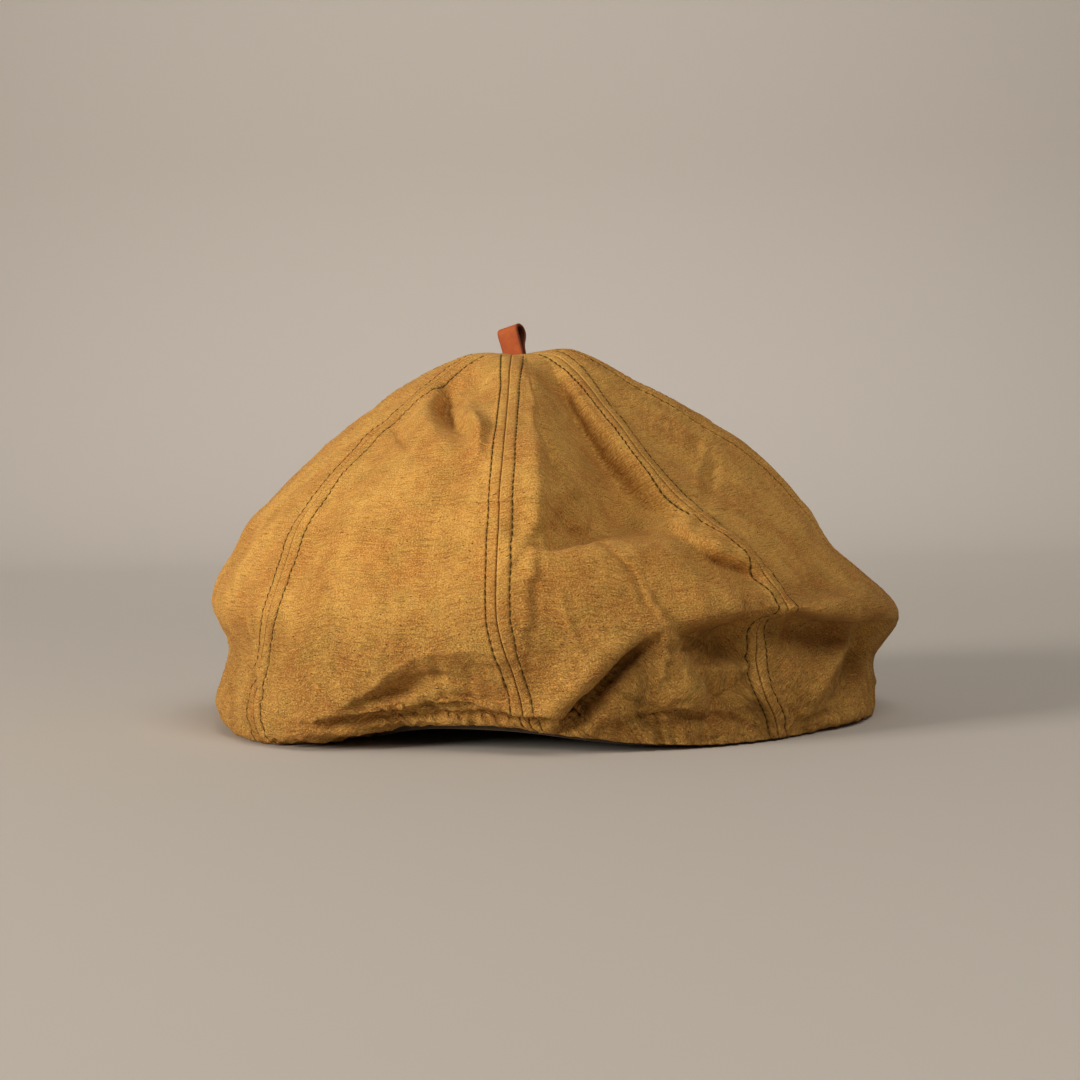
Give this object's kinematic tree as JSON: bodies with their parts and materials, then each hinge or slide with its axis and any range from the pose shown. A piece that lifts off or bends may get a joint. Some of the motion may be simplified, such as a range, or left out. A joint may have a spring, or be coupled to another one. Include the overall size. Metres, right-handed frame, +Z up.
{
  "type": "beret",
  "caption": "Slumped cloth beret of eight gores with twin topstitched seams, an elastic hem with a sweatband inside, and a small leather loop hinged at the tip.",
  "frame": {"origin": "on the surface the beret stands on, under the middle of its bounding box", "axes": "+Z up; -Y is the front of the slumped beret, +X its right side seen from the front"},
  "size_m": [0.2529, 0.2392, 0.1458],
  "materials": {
    "crown_cloth": "matte washed mustard cotton and linen, slubby",
    "seam_tape": "matte cotton twill tape",
    "thread": "matte olive-brown spun thread",
    "elastic": "matte ribbed elastic",
    "sweatband_cotton": "matte dark brown cotton band",
    "loop_leather": "satin vegetable-tanned leather, cut edges"
  },
  "bodies": {
    "hat": {"crown_panel_1": "crown_cloth", "crown_panel_2": "crown_cloth", "crown_panel_3": "crown_cloth", "crown_panel_4": "crown_cloth", "crown_panel_5": "crown_cloth", "crown_panel_6": "crown_cloth", "crown_panel_7": "crown_cloth", "crown_panel_8": "crown_cloth", "seam_tape_1": "seam_tape", "seam_tape_2": "seam_tape", "seam_tape_3": "seam_tape", "seam_tape_4": "seam_tape", "seam_tape_5": "seam_tape", "seam_tape_6": "seam_tape", "seam_tape_7": "seam_tape", "seam_tape_8": "seam_tape", "topstitching_1": "thread", "topstitching_2": "thread", "topstitching_3": "thread", "topstitching_4": "thread", "topstitching_5": "thread", "topstitching_6": "thread", "topstitching_7": "thread", "topstitching_8": "thread", "hem_stitching": "thread", "hem_elastic": "elastic", "sweatband": "sweatband_cotton", "loop_tails": "loop_leather", "loop_tack": "thread"},
    "loop": {"top_loop": "loop_leather"}
  },
  "joints": [
    {"name": "loop_tilt", "type": "hinge", "parent": "hat", "child": "loop", "pos_m": [-0.013, 0.003, 0.13694], "axis": [0.7708, -0.6022, 0.2079], "range_deg": [-50, 50], "stiffness_Nm_per_rad": 0.0006}
  ]
}
